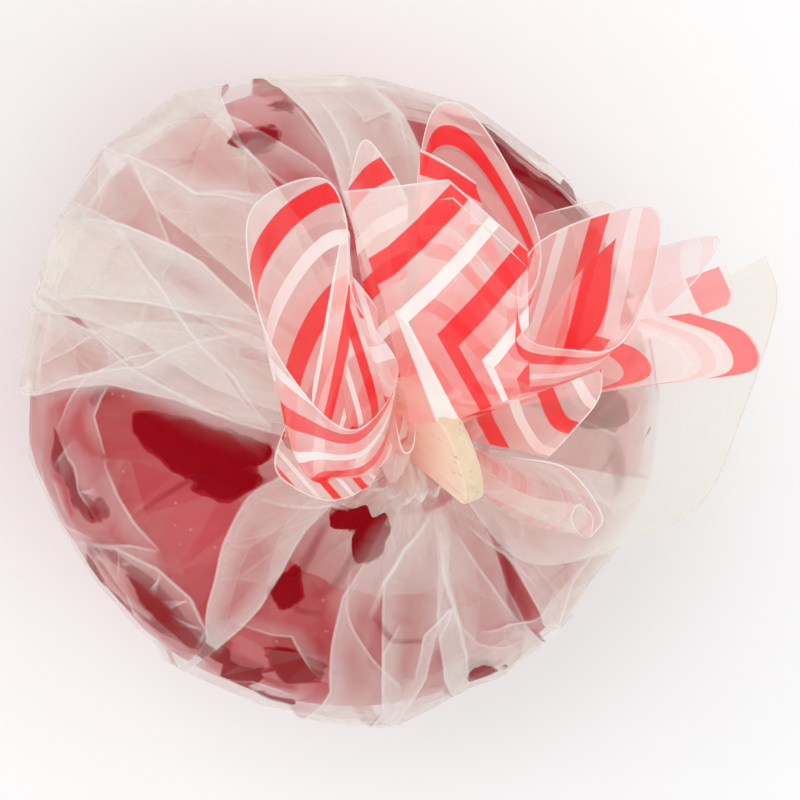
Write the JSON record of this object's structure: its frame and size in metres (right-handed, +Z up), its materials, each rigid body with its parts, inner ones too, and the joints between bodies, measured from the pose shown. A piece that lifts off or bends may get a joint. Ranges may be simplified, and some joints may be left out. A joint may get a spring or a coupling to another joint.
{
  "type": "toffee apple",
  "caption": "Toffee-coated apple on a flat wooden stick, in a clear bag gathered round the stick with a striped ruffled mouth.",
  "frame": {"origin": "middle of the flat spot that the bag's underside rests on", "axes": "+Z up the apple's core and roughly along the stick; +X towards the bag's wide lip of film"},
  "size_m": [0.0752, 0.0771, 0.1044],
  "materials": {
    "red_toffee": "glossy hard sugar glass",
    "pale_wood": "plain sanded birch",
    "clear_film": "thin clear film, creased, striped at its mouth"
  },
  "bodies": {
    "root": {"toffee_apple": "red_toffee", "stick": "pale_wood", "bag": "clear_film", "bag_mouth": "clear_film"}
  },
  "joints": []
}
